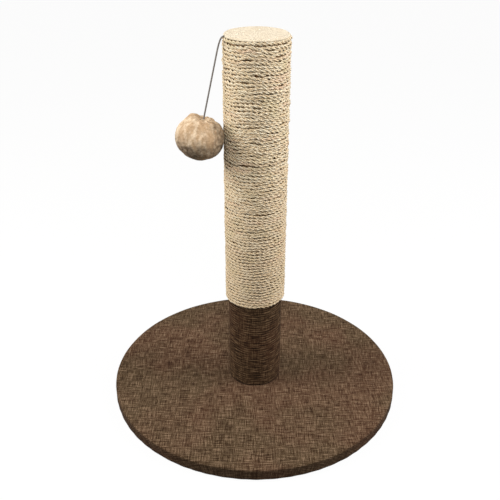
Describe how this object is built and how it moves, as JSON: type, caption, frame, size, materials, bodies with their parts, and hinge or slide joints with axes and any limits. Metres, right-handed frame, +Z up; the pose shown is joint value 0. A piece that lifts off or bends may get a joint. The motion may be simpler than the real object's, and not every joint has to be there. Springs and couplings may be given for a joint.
{
  "type": "cat scratching post",
  "caption": "Round cloth-covered base with a sisal-wound upright post and a plush ball hanging from the post's top on an elastic cord.",
  "frame": {"origin": "middle of the base's underside, on the surface that the post stands on", "axes": "+Z up along the post; the toy hangs on the -X side; +Y is the back, where the rope's ends are"},
  "size_m": [0.3999, 0.4, 0.5],
  "materials": {
    "board": "matte",
    "brown_cloth": "matte",
    "lining": "matte",
    "steel": "satin",
    "paper_tube": "matte",
    "plug_wood": "matte",
    "sisal": "matte",
    "cream_plush": "matte",
    "grey_cord": "matte",
    "stuffing": "matte",
    "tan_plush": "matte"
  },
  "bodies": {
    "post_and_base": {"base_board": "board", "base_cover": "brown_cloth", "base_lining": "lining", "hem_staples": "steel", "base_bolt": "steel", "bolt_washer": "steel", "post_tube": "paper_tube", "tube_sleeve": "brown_cloth", "bottom_plug": "plug_wood", "bottom_plug_nails": "steel", "tee_nut": "steel", "top_plug": "plug_wood", "top_plug_nails": "steel", "rope_section_1": "sisal", "rope_section_2": "sisal", "rope_section_3": "sisal", "rope_section_4": "sisal", "cap_pad": "cream_plush", "cord_staple": "steel", "cord_tail": "grey_cord"},
    "cord_bend": {"cord_bend": "grey_cord"},
    "toy_cord": {"toy_cord": "grey_cord"},
    "ball_knot": {"ball_knot": "grey_cord"},
    "toy_ball": {"ball_core": "stuffing", "ball_cover": "tan_plush"}
  },
  "joints": [
    {"name": "swing_side", "type": "hinge", "parent": "post_and_base", "child": "cord_bend", "pos_m": [-0.039, 0, 0.49805], "axis": [-1, 0, 0], "range_deg": [-75, 75]},
    {"name": "swing_out", "type": "hinge", "parent": "cord_bend", "child": "toy_cord", "pos_m": [-0.044, 0, 0.494], "axis": [0, 1, 0], "range_deg": [0, 75]},
    {"name": "cord_stretch", "type": "slide", "parent": "toy_cord", "child": "ball_knot", "axis": [-0.2226, 0, -0.9749], "range_m": [0, 0.05], "stiffness_N_per_m": 60, "springref_m": -0.0048, "deforming": ["toy_cord"]},
    {"name": "ball_twist", "type": "hinge", "parent": "ball_knot", "child": "toy_ball", "pos_m": [-0.0708, 0, 0.38], "axis": [-0.2226, 0, -0.9749], "range_deg": [-180, 180]}
  ]
}
